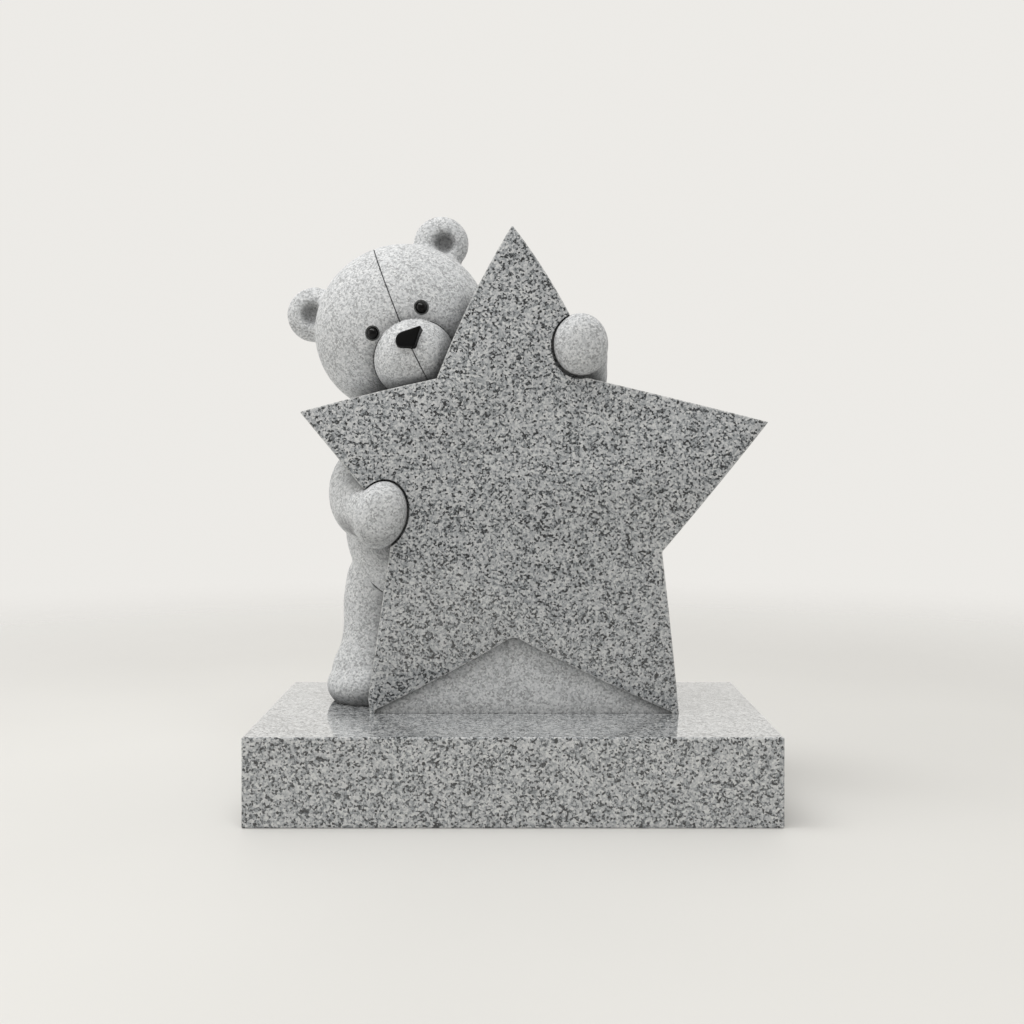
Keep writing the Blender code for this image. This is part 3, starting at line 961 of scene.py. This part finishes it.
# the carved stone
bear = makeBear()
print("bear done,", len(bear.data.polygons), "faces")
hipLine = foldLine(bear)
stone = makeStar()
boolean(stone, [makeBacking(), bear, makeMuzzle()], "UNION")
rightArc, leftArc = seams["ringArcs"]
rings = [muzzleRing(*rightArc, softStart=False, softEnd=True)]
rings.append(muzzleRing(*leftArc, softStart=True, softEnd=False))
boolean(stone, [*makeSockets(), headSeam(), mouthLine(), *rings, hipLine, belowBed()], "DIFFERENCE")
stone.name = "carvedStone"
stone.data.polygons.foreach_set("use_smooth", [True] * len(stone.data.polygons))
stone.data.set_sharp_from_angle(angle=math.radians(32))
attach(stone, "root")
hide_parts("star_and_bear")
print("carved stone done,", len(stone.data.polygons), "faces,", [m.name for m in stone.data.materials])

# eyes and nose
for name, side in (("eye_left", -1), ("eye_right", 1)):
    eye = makeEye("bead_" + name, side)
    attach(eye, "root")
    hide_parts(name)
bm = bmesh.new()
addNose(bm, 0.0)
snout = meshObject("noseInset", bm, noseGlass)
snout.data.polygons.foreach_set("use_smooth", [True] * len(snout.data.polygons))
snout.data.set_sharp_from_angle(angle=math.radians(40))
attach(snout, "root")
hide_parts("nose")
print("eyes and nose done")

# the plinth stays as it is in the frame, in a better finish
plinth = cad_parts["plinth"]
plinth.data.materials.clear()
plinth.data.materials.append(polishedGranite)

# stage
bm = bmesh.new()
bmesh.ops.create_grid(bm, x_segments=1, y_segments=1, size=3.0)
floor = meshObject("floor", bm)
# matt painted board: it takes soft shadows and mirrors nothing
paleFloor, tree, shader = newMaterial("paleFloor")
place = addNode(tree, "ShaderNodeTexCoord").outputs["Object"]
cloud = addNode(tree, "ShaderNodeTexNoise", {"Scale": 1.5, "Detail": 2.0}, {"Vector": place}).outputs[0]
tone = addNode(tree, "ShaderNodeValToRGB", {}, {0: cloud})
setRamp(tone, ((0.3, "#d4d3d0"), (0.7, "#d8d7d4")))
tree.links.new(tone.outputs[0], shader.inputs["Base Color"])
shader.inputs["Roughness"].default_value = 0.6
# it thins out into the pale room well behind the stone, so no horizon shows
away = addNode(tree, "ShaderNodeVectorMath", {"operation": "LENGTH"}, {0: place}).outputs["Value"]
thinning = {"From Min": 0.7, "From Max": 2.8, "To Min": 1.0, "To Max": 0.0}
soft = {**thinning, "interpolation_type": "SMOOTHSTEP"}
solid = addNode(tree, "ShaderNodeMapRange", soft, {0: away}).outputs[0]
tree.links.new(solid, shader.inputs["Alpha"])
floor.data.materials.append(paleFloor)

light = {
    # the room is palest overhead, behind the stone and to its left, and dimmer behind the viewer
    "pale": "#f2f0ec",
    "dim": "#b2b1af",
    "towards": Vector((-0.5, 0.8, 0.33)),
    "strength": 0.95,
    # name: place, aim, width, depth, watts
    "lamps": {
        "top": ((-0.45, -0.6, 2.6), (0, 0, 0.4), 3.0, 0.9, 40.0),
        "left": ((-2.3, -0.35, 0.7), (0, 0, 0.3), 1.2, 1.6, 6.0),
    },
}
world = bpy.data.worlds.new("studio")
scene.world = world
world.use_nodes = True
tree = world.node_tree
sky = tree.nodes["Background"]
sky.inputs["Strength"].default_value = light["strength"]
direction = addNode(tree, "ShaderNodeTexCoord").outputs["Generated"]
facing = addNode(tree, "ShaderNodeVectorMath", {"operation": "DOT_PRODUCT"}, {0: direction})
facing.inputs[1].default_value = light["towards"]
reach = {"From Min": -0.85, "From Max": 0.3, "interpolation_type": "SMOOTHSTEP"}
openness = addNode(tree, "ShaderNodeMapRange", reach, {0: facing.outputs["Value"]}).outputs[0]
room = addNode(tree, "ShaderNodeMix", {"data_type": "RGBA"}, {0: openness})
room.inputs[6].default_value = linear(light["dim"])
room.inputs[7].default_value = linear(light["pale"])
tree.links.new(room.outputs[2], sky.inputs["Color"])
for name, (place, aim, width, depth, watts) in light["lamps"].items():
    lamp = bpy.data.lights.new(name, "AREA")
    lamp.shape = "RECTANGLE"
    lamp.size = width
    lamp.size_y = depth
    lamp.energy = watts
    holder = bpy.data.objects.new(name, lamp)
    scene.collection.objects.link(holder)
    holder.location = place
    holder.rotation_euler = (Vector(aim) - Vector(place)).to_track_quat("-Z", "Y").to_euler()

camera = {
    "place": (0.0, -1.629, 0.4195),
    "focus": 1294.0,  # focal length in pixels of a 1024 square frame
    "centre": (513.0, 454.5),  # where the level line of sight meets the frame
}
lens = bpy.data.cameras.new("camera")
lens.sensor_width = 36.0
lens.lens = camera["focus"] / 1024 * 36.0
lens.shift_x = (512 - camera["centre"][0]) / 1024
lens.shift_y = (camera["centre"][1] - 512) / 1024
viewer = bpy.data.objects.new("camera", lens)
scene.collection.objects.link(viewer)
viewer.location = camera["place"]
viewer.rotation_euler = (math.radians(90), 0, 0)
scene.camera = viewer
print("stage, lights and camera done")
